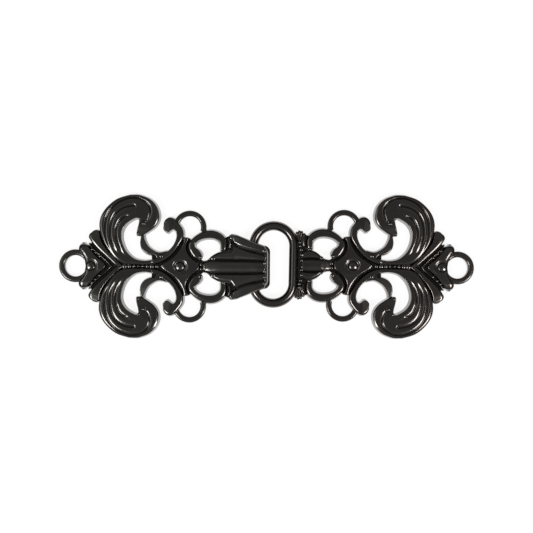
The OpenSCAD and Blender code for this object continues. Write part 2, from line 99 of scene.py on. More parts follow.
scrollRibs = [
    [16.15, 7.55, 16.35, 6.38, 0, 2.15],
    [16.20, 8.20, 16.60, 6.05, 0, 2.20],
    [16.55, 8.80, 17.05, 5.95, 0, 2.25],
    [17.20, 9.15, 17.42, 6.18, 0, 2.30],
    [18.00, 9.02, 17.72, 6.44, 0, 2.30],
    [18.70, 8.50, 17.97, 6.50, 0, 2.25],
    [19.32, 7.80, 18.20, 6.34, 0, 2.20],
    [19.86, 7.00, 18.32, 6.02, 0, 2.15],
    [20.08, 6.10, 18.36, 5.50, 0, 2.15],
    [19.96, 5.15, 18.18, 4.75, 0, 2.15],
    [19.38, 3.98, 17.74, 3.88, 0, 2.15],
    [18.48, 2.66, 17.00, 3.08, 0, 2.10],
    [17.25, 1.42, 16.05, 2.55, 0, 2.05],
    [15.80, 0.55, 15.10, 1.85, 0, 2.05],
    [14.20, 0.15, 14.00, 1.42, 0, 2.03],
    [13.10, 0.30, 13.05, 0.95, 0, 1.50],
]
branchRibs = [
    [17.20, 1.70, 16.75, 3.05, 0, 2.00],
    [15.90, 1.20, 15.60, 2.80, 0, 2.02],
    [15.15, 1.25, 14.95, 2.90, 0, 2.02],
    [14.65, 1.78, 14.50, 3.12, 0, 2.00],
    [13.80, 1.85, 13.86, 3.56, 0, 1.95],
    [12.75, 2.28, 13.42, 4.06, 0, 1.90],
    [12.00, 3.12, 13.12, 4.62, 0, 1.85],
    [11.74, 4.10, 12.96, 5.02, 0, 1.80],
    [11.78, 4.95, 12.88, 5.36, 0, 1.75],
    [11.92, 5.70, 12.86, 5.78, 0, 1.70],
]
wingRibs = [
    [3.05, 6.20, 4.25, 6.60, 0, 1.95],
    [2.58, 5.78, 4.62, 6.42, 0, 2.00],
    [2.42, 5.25, 4.75, 5.90, 0, 2.05],
    [2.68, 4.72, 4.85, 5.20, 0, 2.10],
    [3.36, 3.76, 5.25, 4.22, 0, 2.10],
    [4.36, 2.70, 6.00, 3.10, 0, 2.05],
    [5.36, 1.80, 6.80, 2.18, 0, 2.00],
    [6.28, 0.95, 7.52, 1.40, 0, 1.95],
    [7.10, 0.15, 8.30, 0.72, 0, 1.90],
    [7.60, -0.20, 8.90, 0.18, 0, 1.80],
]
chevronRibs = [
    [2.45, 3.95, 2.85, 4.20, 0, 1.60],
    [3.10, 2.95, 3.60, 3.35, 0, 1.75],
    [4.05, 2.05, 4.55, 2.45, 0, 1.80],
    [5.10, 1.15, 5.60, 1.55, 0, 1.80],
    [5.95, 0.30, 6.50, 0.65, 0, 1.75],
    [6.35, -0.20, 7.00, 0.05, 0, 1.65],
]
shieldRibs = [
    [1.15, 4.12, 1.95, 4.18, 0, 1.50],
    [0.78, 3.75, 2.45, 3.85, 0, 1.95],
    [0.62, 3.10, 3.00, 3.20, 0, 2.12],
    [0.90, 2.55, 3.45, 2.60, 0, 2.15],
    [1.35, 1.85, 4.05, 1.90, 0, 2.15],
    [1.68, 1.15, 4.85, 1.15, 0, 2.15],
    [1.80, 0.50, 5.60, 0.50, 0, 2.20],
    [1.82, -0.10, 5.95, -0.10, 0, 2.20],
]
starRibs = [
    [19.65, 5.25, 21.05, 5.12, 0, 2.00],
    [19.50, 4.20, 20.62, 4.20, 0, 2.05],
    [18.85, 3.10, 20.58, 3.10, 0, 2.10],
    [18.05, 2.10, 21.08, 2.10, 0, 2.15],
    [17.12, 1.30, 21.80, 1.30, 0, 2.20],
    [16.42, 0.85, 22.45, 0.85, 0, 2.20],
    [15.75, 0.40, 22.85, 0.40, 0, 2.20],
    [15.38, -0.10, 22.95, -0.10, 0, 2.20],
]
lobeRibs = [
    [22.35, 0.98, 23.22, 1.45, 0, 1.90],
    [21.45, 1.60, 23.42, 2.28, 0, 2.05],
    [20.82, 2.45, 22.95, 3.08, 0, 2.05],
    [20.42, 3.40, 22.32, 3.55, 0, 2.05],
    [20.55, 4.42, 22.18, 3.95, 0, 2.05],
    [21.20, 5.20, 22.46, 4.28, 0, 2.05],
    [22.02, 5.92, 23.00, 4.64, 0, 2.05],
    [23.18, 6.56, 23.80, 4.88, 0, 2.05],
    [24.65, 6.90, 24.72, 4.95, 0, 2.05],
    [26.08, 6.66, 25.50, 4.82, 0, 2.05],
    [27.25, 5.92, 26.08, 4.46, 0, 2.05],
    [27.88, 4.92, 26.35, 4.05, 0, 2.05],
    [28.00, 3.90, 26.40, 3.60, 0, 2.05],
    [27.85, 3.00, 26.38, 3.15, 0, 2.00],
    [27.45, 2.35, 26.45, 2.68, 0, 1.80],
]
fanRibs = [
    [23.40, 1.15, 23.40, -1.15, 0, 2.60, 0.08, 0.00, 0.92, 0.00],
    [23.80, 1.20, 23.80, -1.20, 0, 2.80, 0.08, 0.00, 0.92, 0.00],
    [24.30, 1.40, 24.30, -1.40, 0, 2.92, 0.12, 0.15, 0.88, 0.15],
    [25.10, 2.15, 25.10, -2.15, 0, 3.02, 0.21, 0.30, 0.79, 0.30],
    [26.30, 2.78, 26.30, -2.78, 0, 3.14, 0.28, 0.36, 0.72, 0.36],
    [27.60, 3.00, 27.60, -3.00, 0, 3.23, 0.30, 0.36, 0.70, 0.36],
    [28.60, 3.15, 28.60, -3.15, 0, 3.30, 0.31, 0.36, 0.69, 0.36],
    [29.20, 3.90, 29.20, -3.90, 0, 3.34, 0.35, 0.36, 0.65, 0.36],
    [29.50, 3.85, 29.50, -3.85, 2.55, 3.36, 0.35, 0.36, 0.65, 0.36],
    [30.30, 3.50, 30.30, -3.50, 2.80, 3.42, 0.33, 0.36, 0.67, 0.36],
    [31.70, 3.05, 31.70, -3.05, 2.85, 3.52, 0.31, 0.36, 0.69, 0.36],
    [33.40, 2.65, 33.40, -2.65, 2.85, 3.66, 0.29, 0.36, 0.71, 0.36],
    [34.62, 2.38, 34.62, -2.38, 2.85, 3.70, 0.28, 0.34, 0.72, 0.34],
]
edgeFluteRibs = [
    [28.15, 5.86, 29.10, 4.05, 0, 2.95],
    [28.36, 6.00, 29.25, 3.92, 0, 3.12],
    [28.66, 6.10, 29.40, 3.78, 0, 3.22],
    [29.42, 5.92, 29.70, 3.60, 2.50, 3.30],
    [30.30, 5.58, 30.30, 3.32, 2.80, 3.39],
    [31.70, 5.02, 31.70, 2.88, 2.85, 3.50],
    [33.40, 4.36, 33.40, 2.48, 2.85, 3.64],
    [34.62, 3.92, 34.62, 2.22, 2.85, 3.68],
]
shortFanRibs = [
    [23.40, 1.15, 23.40, -1.15, 0, 1.95, 0.10, 0.00, 0.90, 0.00],
    [23.95, 1.20, 23.95, -1.20, 0, 2.10, 0.10, 0.00, 0.90, 0.00],
    [24.60, 1.42, 24.60, -1.42, 0, 2.18, 0.14, 0.10, 0.86, 0.10],
    [25.10, 1.82, 25.10, -1.82, 0, 2.25, 0.20, 0.25, 0.80, 0.25],
    [25.80, 2.40, 25.80, -2.40, 0, 2.28, 0.25, 0.35, 0.75, 0.35],
    [26.70, 2.80, 26.70, -2.80, 0, 2.32, 0.28, 0.35, 0.72, 0.35],
    [27.60, 2.85, 27.60, -2.85, 0, 2.35, 0.29, 0.35, 0.71, 0.35],
    [28.55, 2.45, 28.55, -2.45, 0, 2.35, 0.28, 0.35, 0.72, 0.35],
]
collarRibs = [
    [29.12, 5.80, 29.75, 5.80, 0, 1.80],
    [29.10, 3.20, 29.75, 3.20, 0, 2.00],
    [29.10, -0.10, 29.75, -0.10, 0, 2.00],
]
ridgeRibs = [
    [27.70, 5.45, 28.15, 5.60, 0, 2.00],
    [27.90, 5.00, 28.48, 5.05, 0, 2.20],
    [28.05, 4.30, 28.65, 4.30, 0, 2.25],
    [27.95, 3.50, 28.50, 3.38, 0, 2.15],
]


def alongRows(rows, steps):
    # Cubic through the rows: at a row its slope is half the change between the neighbours on both sides.
    rows = np.asarray(rows, float)
    padded = np.vstack([rows[:1], rows, rows[-1:]])
    a, b, c, d = padded[:-3], padded[1:-2], padded[2:-1], padded[3:]
    t = (np.arange(steps) / steps)[:, None, None]
    curve = b + t * (c - a) / 2 + t**2 * (a - 2.5 * b + 2 * c - d / 2) + t**3 * (1.5 * (b - c) + (d - a) / 2)
    return np.vstack([curve.transpose(1, 0, 2).reshape(-1, rows.shape[1]), rows[-1:]])


def loftShell(grid, ring=False):
    # Skin over rows of points. Each row is a closed loop; the rows close into a ring or end in flat caps.
    # Where six times the volume, the sum of the corners' triple products, is negative, the faces turn round.
    m, n = grid.shape[:2]
    i = np.arange(m if ring else m - 1)[:, None]
    j = np.arange(n)[None, :]
    nextRow, nextPoint = (i + 1) % m, (j + 1) % n
    quads = np.stack([i * n + j, nextRow * n + j, nextRow * n + nextPoint, i * n + nextPoint], -1)
    quads = quads.reshape(-1, 4)
    points = grid.reshape(-1, 3)
    caps = [] if ring else [np.arange(n), (m - 1) * n + np.arange(n)[::-1]]
    corners = points - points.mean(0)
    a, b, c, d = (corners[quads[:, k]] for k in range(4))
    volume = np.einsum("ij,ij->", a, np.cross(b, c)) + np.einsum("ij,ij->", a, np.cross(c, d))
    for cap in caps:
        fan = corners[cap]
        volume += np.einsum("j,ij->", fan[0], np.cross(fan[1:-1], fan[2:]))
    faces = quads.tolist() + [cap.tolist() for cap in caps]
    if volume < 0:
        faces = [face[::-1] for face in faces]
    return points, faces


def roundedTip(rows, atStart, reach):
    # Quarter round past the last rib: the rib moves on by reach * sin(a) while its width shrinks with cos(a)
    # and its crest with cos(a)^0.35, for a from 0 to nearly 90 degrees.
    end, before = (rows[0], rows[1]) if atStart else (rows[-1], rows[-2])
    centre = (end[0:2] + end[2:4]) / 2
    way = centre - (before[0:2] + before[2:4]) / 2
    way = way / np.linalg.norm(way)
    turn = np.radians([16, 32, 46, 59, 70, 79, 85])[:, None]
    more = np.repeat(end[None], len(turn), 0)
    more[:, 0:2] = centre + way * reach * np.sin(turn) + (end[0:2] - centre) * np.cos(turn)
    more[:, 2:4] = centre + way * reach * np.sin(turn) + (end[2:4] - centre) * np.cos(turn)
    more[:, 5:6] = end[4] + (end[5] - end[4]) * np.cos(turn) ** 0.35
    return np.vstack([more[::-1], rows]) if atStart else np.vstack([rows, more])


def ribbonShell(ribs, steps, across, tips=(False, False), changes=None):
    # Height across a rib: crest - (crest - low) * (1 - d / round)^crown at the distance d from a shoulder,
    # flat from d = round on, less the grooves. Low is the fall below the crest, or 0.4 of the thickness where
    # that is less. There are as many points to each ridge, closest beside its grooves. Between two grooves
    # the drop runs from one depth to the other, times |2s - 1|^ridge for s from 0 to 1, so ridges are round,
    # and each groove adds a fine line, depth * exp(-(distance / width)^2). Shoulders are quadratic curves
    # from the leaning wall to the top.
    look = {**casting, **(changes or {})}
    rows = alongRows(ribs, steps)
    for k, tip in enumerate(tips):
        if tip:
            rows = roundedTip(rows, k == 0, look["tipReach"])
    outer, inner = rows[:, 0:2], rows[:, 2:4]
    under, crest = np.maximum(rows[:, 4:5], 0), rows[:, 5:6]
    width = np.linalg.norm(inner - outer, axis=1)[:, None]
    low = crest - np.minimum(look["fall"], 0.4 * (crest - under))
    edge = np.minimum(0.3, look["lean"] / width)
    firstTop = edge + np.minimum(look["softness"] / width, 0.45 * (0.5 - edge))

    count = (rows.shape[1] - 6) // 2
    grooves = [rows[:, 6 + 2 * k : 7 + 2 * k] for k in range(count)]
    grooves = [np.clip(place, firstTop + 0.01, 0.99 - firstTop) for place in grooves]
    stops = [firstTop, *grooves, 1 - firstTop]
    depths = [0 * edge] + [rows[:, 7 + 2 * k : 8 + 2 * k] for k in range(count)] + [0 * edge]
    ridge = (1 - np.cos(np.linspace(0, np.pi, across + 1)))[None] / 2
    u, drop = [], []
    for k in range(count + 1):
        s = ridge[:, k > 0 :]  # a ridge after the first shares its first point with the one before
        u.append(stops[k] + s * (stops[k + 1] - stops[k]))
        depth = depths[k] + (depths[k + 1] - depths[k]) * s
        drop.append(look["swell"] * depth * np.abs(2 * s - 1) ** look["ridge"])
    u, drop = np.hstack(u), np.hstack(drop)
    for stop, depth in zip(grooves, depths[1:-1]):
        drop += look["scratch"] * depth * np.exp(-(((u - stop) * width / look["scratchWidth"]) ** 2))
    reach = np.minimum(np.where(u < 0.5, look["round"], look["innerRound"]), 0.9 * (0.5 - edge) * width)
    fromShoulder = (np.minimum(u, 1 - u) - edge) * width
    top = crest - (crest - low) * np.clip(1 - fromShoulder / reach, 0, 1) ** look["crown"] - drop
    wallU = 0.6 * edge
    wallZ = under + 0.6 * (low - under)
    t = np.linspace(0, 1, 6)[None, :-1]
    shoulderU = (1 - t) ** 2 * wallU + 2 * t * (1 - t) * edge + t**2 * firstTop
    shoulderZ = (1 - t) ** 2 * wallZ + 2 * t * (1 - t) * low + t**2 * top[:, :1]
    otherZ = (1 - t) ** 2 * wallZ + 2 * t * (1 - t) * low + t**2 * top[:, -1:]
    atU = np.hstack([0 * edge, shoulderU, u, 1 - shoulderU[:, ::-1], 1 + 0 * edge])
    atZ = np.hstack([under, shoulderZ, top, otherZ[:, ::-1], under])
    plan = outer[:, None] + atU[..., None] * (inner - outer)[:, None]
    return loftShell(np.dstack([plan, atZ]))


def turnedShell(profile, centre, start, sweep, steps):
    # Profile (r, z) carried round an upright axis: x = cx + r cos a, y = cy + r sin a.
    profile = np.asarray(profile, float)
    a = np.radians(start + sweep * np.arange(steps + (sweep < 360)) / steps)[:, None]
    x = centre[0] + profile[None, :, 0] * np.cos(a)
    y = centre[1] + profile[None, :, 0] * np.sin(a)
    return loftShell(np.dstack([x, y, np.broadcast_to(profile[:, 1], x.shape)]), ring=sweep == 360)


def domeShell(centre, radii, heights, steps=40):
    # Stack of circles, one for each radius and height, closed by flat caps.
    a = 2 * np.pi * np.arange(steps) / steps
    radii, heights = np.asarray(radii, float)[:, None], np.asarray(heights, float)[:, None]
    x = centre[0] + radii * np.cos(a)
    y = centre[1] + radii * np.sin(a)
    return loftShell(np.dstack([x, y, np.broadcast_to(heights, x.shape)]))


def atHeight(outline, z):
    # Every (x, y) of the outline as (x, y, z).
    return np.column_stack([outline, np.full(len(outline), z)])


def slabShell(outline, bottom, top):
    # Outline carried straight up from one height to the other.
    outline = np.asarray(outline, float)
    return loftShell(np.stack([atHeight(outline, bottom), atHeight(outline, top)]))


def wireShell(path, radius, steps=40):
    # Circle carried along a flat closed path: path + radius * (cos b * sideways + sin b * up).
    ahead = np.roll(path, -1, 0) - np.roll(path, 1, 0)
    ahead /= np.linalg.norm(ahead, axis=1)[:, None]
    side = np.column_stack([ahead[:, 1], -ahead[:, 0], 0 * ahead[:, 0]])
    b = (2 * np.pi * np.arange(steps) / steps)[None, :, None]
    up = np.array([0, 0, 1.0])
    return loftShell(path[:, None] + radius * (np.cos(b) * side[:, None] + np.sin(b) * up), ring=True)


def mirrored(shell):
    # y becomes -y, and each face is listed the other way so that it still points out.
    points, faces = shell
    return points * np.array([1, -1, 1]), [face[::-1] for face in faces]


def bothSides(shells):
    # The drawn side's shells, and the same with -y for y.
    return shells + [mirrored(shell) for shell in shells]


ornamentLook = {
    "webHeight": 0.884,  # low web that closes the dark gaps between the scrolls
    "sideWebHeight": 0.972,
    # Beads of the middle groove: place along the half, radius.
    "beads": [
        (9.05, 0.50), (9.95, 0.42), (10.80, 0.30), (11.60, 0.22), (12.40, 0.24), (13.20, 0.32), (14.05, 0.46),
        (14.95, 0.36),
    ],
    "beadLevel": 1.45, "beadFoot": 0.5,  # heights of the widest circle and of the foot of the stem below it
    "beadFlatness": 0.4,  # beads and dots are flatter than spheres
    # Bosses: place along the half, height, level of the plate round it.
    "shieldBoss": (3.0, 2.35, 2.18), "starBoss": (19.25, 2.6, 2.2),
    "bossRadius": 0.78, "bossCurve": 2.2,  # the top of a boss is part of a large sphere
    "bossRim": 0.14,  # share of the radius that is rounded off
    "bossWall": 0.3,  # how far the wall round a boss ends below its top
    # Rosette cut round a boss: radius, depth below the plate towards the end ring and towards the middle.
    "rosette": [
        (0.60, 0.45, 0.45), (0.80, 0.45, 0.45), (0.84, 0.25, 0.30), (0.88, 0.06, 0.16), (0.95, 0.02, 0.16),
        (1.02, 0.01, 0.16), (1.07, 0.01, 0.15), (1.12, 0.02, 0.125), (1.17, 0.03, 0.095), (1.22, 0.035, 0.07),
        (1.27, 0.03, 0.055), (1.32, 0.02, 0.048), (1.36, 0.008, 0.03), (1.40, -0.006, 0.006),
        (1.44, -0.02, -0.02),
    ],
    # Curl in the head of a leaf: a ditch along part of a circle round the first dot.
    "curlAt": (12.57, 7.79), "curlRadius": 0.45, "curlWidth": 0.26, "curlFloor": 2.14,
    "curlStart": -30, "curlSweep": 150,
    # Dots: place along and across the half, radius, height of the widest circle.
    "dots": [
        (12.57, 7.79, 0.28, 2.33), (11.78, 8.78, 0.26, 2.35), (11.55, 5.93, 0.22, 2.11),
        (3.22, 3.05, 0.24, 1.8), (3.85, 2.45, 0.22, 1.83), (4.6, 1.75, 0.24, 1.84), (15.8, 1.88, 0.4, 2.0),
        (22.95, 1.75, 0.4, 2.0), (27.2, 2.9, 0.3, 1.95), (23.15, 0.4, 0.35, 1.95),
    ],
    "hookDots": [
        (23.95, 0.2, 0.62, 2.62), (25.3, 1.55, 0.48, 2.98), (34.68, 0.75, 0.32, 3.58),
        (34.68, 1.75, 0.32, 3.58), (34.62, 2.95, 0.38, 3.56), (28.7, 5.3, 0.45, 3.08),
    ],
    "eyeDots": [
        (25.0, 1.35, 0.3, 2.18), (28.6, 0.85, 0.3, 2.28), (28.6, 1.85, 0.3, 2.28), (28.72, 2.8, 0.3, 1.9),
        (28.95, 3.45, 0.28, 1.9), (29.05, 4.1, 0.25, 1.9),
    ],
}
frontWeb = [
    [1.9, -0.1], [1.9, 2.2], [2.6, 3.6], [3.2, 4.6], [4.6, 5.0], [6.0, 3.4],
    [8.4, 1.0], [14.0, 0.6], [14.0, 1.15], [14.0, 2.2], [15.8, 2.3], [17.6, 3.0],
    [18.8, 4.9], [19.8, 5.1], [20.9, 5.0], [21.1, 3.6], [22.2, 2.6], [23.0, 1.4],
    [23.6, 0.95], [23.6, -0.1],
]
sideWeb = [[26.9, 2.0], [27.3, 3.2], [27.35, 4.6], [27.5, 5.4], [28.7, 5.9], [29.3, 5.6], [29.35, 2.0]]


def bossShell(place, height):
    # Button: height = top - r^2 / (2 * bossCurve), less a quarter round over the rim.
    look = ornamentLook
    rim = look["bossRim"]
    flat = 1 - rim
    r = np.concatenate([[0.1, 0.3, 0.5, 0.65, 0.8, flat], flat + rim * np.sin(np.radians([20, 40, 60, 80]))])
    fall = (r * look["bossRadius"]) ** 2 / (2 * look["bossCurve"])
    fall += rim * look["bossRadius"] * (1 - np.sqrt(1 - np.clip((r - flat) / rim, 0, 1) ** 2))
    radii = look["bossRadius"] * np.concatenate([[1, 1], r[::-1]])
    heights = np.concatenate([[0, height - look["bossWall"]], (height - fall)[::-1]])
    return domeShell((place, 0), radii, heights)


def rosetteShell(place, level):
    # Ring to cut out, open at the top; its depth at the angle a is halfway between the two sides' depths,
    # plus half their difference times cos a. Its corners lie between those of the boss.
    rows = np.array(ornamentLook["rosette"])
    rows = np.vstack([rows, [rows[-1, 0], -2, -2], [rows[0, 0], -2, -2]])
    a = np.radians(np.arange(2.5, 360, 5))[:, None]
    depth = (rows[:, 1] + rows[:, 2]) / 2 + (rows[:, 2] - rows[:, 1]) / 2 * np.cos(a)
    x, y = place + rows[:, 0] * np.cos(a), rows[:, 0] * np.sin(a)
    return loftShell(np.dstack([x, y, level - depth]), ring=True)


def curlDitchShell():
    # Part of a ring to cut out, with a half round floor, clear of the casting at its top.
    look = ornamentLook
    radius, half = look["curlRadius"], look["curlWidth"] / 2
    b = np.radians(np.linspace(180, 360, 13))
    floor = np.column_stack([radius + half * np.cos(b), look["curlFloor"] + half + half * np.sin(b)])
    profile = np.vstack([floor, [[radius + half, 4], [radius - half, 4]]])
    return turnedShell(profile, look["curlAt"], look["curlStart"], look["curlSweep"], 36)


def beadShell(x, y, radius, level, foot=None):
    # Circles of radius * cos(a) at level + flatness * radius * sin(a). With a foot, an upright stem under the
    # widest circle takes the place of the lower half.
    a = np.radians(np.arange(-80, 81, 16) if foot is None else np.arange(0, 81, 16))
    radii, heights = radius * np.cos(a), level + ornamentLook["beadFlatness"] * radius * np.sin(a)
    if foot is not None:
        radii, heights = np.append(radius, radii), np.append(foot, heights)
    return domeShell((x, y), radii, heights, 20)


def ornamentShells():
    # What the halves share: ribbons and webs on both sides, beads along the middle, dots on both sides.
    look = ornamentLook
    shells = bothSides([
        ribbonShell(leafRibs, 8, 14, (False, True), leafLook),
        ribbonShell(scrollRibs, 8, 20, (True, False), scrollLook),
        ribbonShell(branchRibs, 7, 18, (False, False), branchLook),
        ribbonShell(wingRibs, 8, 26, (True, False), wingLook),
        ribbonShell(chevronRibs, 7, 14, (True, False), wingLook),
        ribbonShell(lobeRibs, 8, 22, (False, False), lobeLook),
        slabShell(frontWeb, 0, look["webHeight"]),
        slabShell(sideWeb, 0, look["sideWebHeight"]),
    ])
    beads = [beadShell(x, 0, radius, look["beadLevel"], look["beadFoot"]) for x, radius in look["beads"]]
    return shells + beads + bothSides([beadShell(*dot) for dot in look["dots"]])


rings = {
    "edge": 0.34, "backEdge": 0.05,  # rounding along the top, bevel along the back
    "endAt": (0.12, 0), "holeRadius": 1.93, "endRadius": 3.02, "endHeight": 1.6, "endSteps": 96,
    "loopAt": (20.95, 7.2), "loopHole": 2.0, "loopRadius": 3.05, "loopHeight": 1.4, "loopSteps": 60,
    "loopStart": -18, "loopSweep": 174,  # degrees, between the scroll and the lobe
}


def flatRingShell(inner, outer, height, centre, start, sweep, steps):
    # Flat back with bevelled edges, upright walls and a flat top with quarter round edges.
    edge, bevel = rings["edge"], rings["backEdge"]
    b = np.radians(np.linspace(0, 90, 9))
    outside = np.column_stack([outer - edge + edge * np.cos(b), height - edge + edge * np.sin(b)])
    inside = np.column_stack([inner + edge - edge * np.cos(b), height - edge + edge * np.sin(b)])[::-1]
    back = [[inner, bevel], [inner + bevel, 0], [outer - bevel, 0], [outer, bevel]]
    return turnedShell(np.vstack([back, outside, inside]), centre, start, sweep, steps)


def ringShells():
    # The end ring all the way round, and part of a ring on each side as a sewing loop.
    look = rings
    end = flatRingShell(look["holeRadius"], look["endRadius"], look["endHeight"], look["endAt"],
                        0, 360, look["endSteps"])
    loop = flatRingShell(look["loopHole"], look["loopRadius"], look["loopHeight"], look["loopAt"],
                         look["loopStart"], look["loopSweep"], look["loopSteps"])
    return [end] + bothSides([loop])


hook = {
    "floor": 0.8,  # thickness of the tongue that lies under the eye's bar
    "ceiling": 2.86,  # just above the underside of the fan
    "slotBack": 32, "slotEnd": 34.8, "slotHalf": 6,  # open end, inner face of the bend, half the width
    "bendBack": 33.2, "bendCorner": 1.15,  # where the bend begins under the fan, radius of its corners
    # Levels of the bend from the back of the casting up: height, end of the outline, half its width.
    "levels": [
        (0.00, 35.50, 3.85), (0.12, 35.65, 3.98), (0.95, 35.65, 3.98), (1.05, 35.61, 3.94),
        (1.24, 35.33, 3.66), (1.34, 35.29, 3.62), (3.00, 35.13, 3.58), (3.18, 35.02, 3.48),
        (3.28, 34.88, 3.36), (3.32, 34.72, 3.22),
    ],
    "tongueTip": 31.45, "tongueRoot": 34.5, "tongueHalf": 3.0, "tongueCorner": 0.9,
    "tongueBevel": 0.12,  # along the back
    "tongueEdge": [(0.15, 0), (0.04, 0.05), (0, 0.18)],  # depth below the tongue's top, inset
}


def hookOutline(back, end, half, radius):
    # Rectangle whose two far corners are quarter rounds.
    near = np.radians(np.linspace(-90, 0, 9))
    far = -near[::-1]
    x = [[back], end - radius + radius * np.cos(near), end - radius + radius * np.cos(far), [back]]
    y = [[-half], radius - half + radius * np.sin(near), half - radius + radius * np.sin(far), [half]]
    return np.column_stack([np.concatenate(x), np.concatenate(y)])


def hookBend(name):
    # Stack of outlines, hollowed by a slot for the eye's bar, and a tongue under the slot.
    look = hook
    rows = [atHeight(hookOutline(look["bendBack"], end, half, look["bendCorner"]), z)
            for z, end, half in look["levels"]]
    bend = shellObject(name + "Bend", loftShell(np.stack(rows)))
    back, end, half = look["slotBack"], look["slotEnd"], look["slotHalf"]
    slot = slabShell([[back, -half], [end, -half], [end, half], [back, half]], look["floor"], look["ceiling"])
    bend = joined(name, bend, [shellObject(name + "Slot", slot)], "DIFFERENCE")
    heights = [(0, look["tongueBevel"]), (look["tongueBevel"], 0)]
    heights += [(look["floor"] - depth, inset) for depth, inset in look["tongueEdge"]]
    tongue = []
    for z, inset in heights:
        tip, half = inset - look["tongueTip"], look["tongueHalf"] - inset
        outline = hookOutline(-look["tongueRoot"], tip, half, look["tongueCorner"]) * [-1, 1]
        tongue.append(atHeight(outline, z))
    return joined(name, bend, [shellObject(name + "Tongue", loftShell(np.stack(tongue)))], "UNION")


def hookHalfShells():
    # The ornament and rings, with the long fan, its edge flutes and the ridges beside it.
    return ornamentShells() + ringShells() + [
        ribbonShell(fanRibs, 7, 20, (False, True), fanLook),
        *bothSides([
            ribbonShell(edgeFluteRibs, 8, 26, (True, True), edgeLook),
            ribbonShell(ridgeRibs, 9, 16, (False, True), ridgeLook),
            *[beadShell(*dot) for dot in ornamentLook["hookDots"]],
        ]),
    ]


eye = {
    "wire": 1.7,  # diameter of the D ring's wire
    # The wire's middle line: radius of its ends, length of its sides, place along the half, height.
    "radius": 3.65, "straight": 6.8, "middle": 33.75, "height": 1.85,
    "collarWebHeight": 1.105,
    # Pleats at the ends of the collar: foot x, foot y, tip x, tip y.
    "pleats": [
        (28.80, 3.90, 28.10, 5.85), (29.05, 4.10, 28.62, 6.25), (29.25, 4.30, 29.10, 6.35),
        (29.45, 4.40, 29.58, 6.10),
    ],
    "pleatWidth": 0.56, "pleatHeight": 1.95,
    "pleatSteps": [(0, 0.5, 1), (0.5, 1, 1), (0.9, 1, 1), (1, 0.5, 0.75)],  # shares: way, width, height
    "pleatLook": {"lean": 0.03, "fall": 0.15, "softness": 0.04, "round": 0.3},
}
collarWeb = [[28.2, -0.3], [28.2, 2.5], [29.5, 2.5], [29.5, -0.3]]


def ringWireShell():
    # Two half circles joined by straight lines along y.
    look = eye
    a = np.radians(np.linspace(0, 180, 49))
    far = np.column_stack([look["radius"] * np.cos(a), look["straight"] / 2 + look["radius"] * np.sin(a)])
    down = np.linspace(1, -1, 13)[1:-1] * look["straight"] / 2
    left = np.column_stack([np.full(len(down), -look["radius"]), down])
    loop = np.vstack([far, left, -far, -left]) + [look["middle"], 0]
    return wireShell(atHeight(loop, look["height"]), look["wire"] / 2)


def pleatRibs(footX, footY, tipX, tipY):
    # Ribs square to the line from foot to tip, with half the width at both ends.
    foot, tip = np.array([footX, footY]), np.array([tipX, tipY])
    way = (tip - foot) / np.linalg.norm(tip - foot)
    side = np.array([-way[1], way[0]]) * eye["pleatWidth"] / 2
    rows = []
    for share, wide, tall in eye["pleatSteps"]:
        at = foot + share * (tip - foot)
        rows.append([*(at + wide * side), *(at - wide * side), 0, eye["pleatHeight"] * tall])
    return rows


def eyeHalfShells():
    # The ornament and rings, with the short fan, the collar with its pleats, and the D ring.
    look = eye
    side = [
        slabShell(collarWeb, 0, look["collarWebHeight"]),
        ribbonShell(collarRibs, 6, 12, changes=collarLook),
        ribbonShell(ridgeRibs, 9, 16, (False, True), ridgeLook),
    ]
    side += [ribbonShell(pleatRibs(*pleat), 6, 18, changes=look["pleatLook"]) for pleat in look["pleats"]]
    side += [beadShell(*dot, ornamentLook["beadFoot"]) for dot in ornamentLook["eyeDots"]]
    return ornamentShells() + ringShells() + [
        ribbonShell(shortFanRibs, 7, 20, (False, True), fanLook),
        *bothSides(side),
        ringWireShell(),
    ]


def shellObject(name, shell):
    # Points times 0.001, from millimetres to metres.
    points, faces = shell
    mesh = bpy.data.meshes.new(name)
    mesh.from_pydata((points * 0.001).tolist(), [], faces)
    mesh.validate()
    return bpy.data.objects.new(name, mesh)


def joined(name, base, others, operation):
    # Adds the others to the base, or cuts them out of it, in one exact step, and keeps only the result.
    pool = bpy.data.collections.new(name + "Pool")
    bpy.context.scene.collection.children.link(pool)
    for other in others:
        pool.objects.link(other)
    bpy.context.scene.collection.objects.link(base)
    step = base.modifiers.new(operation, "BOOLEAN")
    step.operation, step.solver = operation, "MANIFOLD"
    step.operand_type, step.collection = "COLLECTION", pool
    mesh = bpy.data.meshes.new_from_object(base.evaluated_get(bpy.context.evaluated_depsgraph_get()))
    for old in [base, *others]:
        bpy.data.objects.remove(old)
    bpy.data.collections.remove(pool)
    return bpy.data.objects.new(name, mesh)


def bossedShell(name, ribs, look, boss):
    # The drawn side and its mirror image in one, with a rosette cut into it and a boss that stands in it.
    place, height, level = boss
    sides = bothSides([ribbonShell(ribs, 8, 40, (True, False), look)])
    drawn, other = (shellObject(name + "Side", side) for side in sides)
    plate = joined(name, drawn, [other], "UNION")
    plate = joined(name, plate, [shellObject(name + "Rosette", rosetteShell(place, level))], "DIFFERENCE")
    return joined(name, plate, [shellObject(name + "Boss", bossShell(place, height))], "UNION")


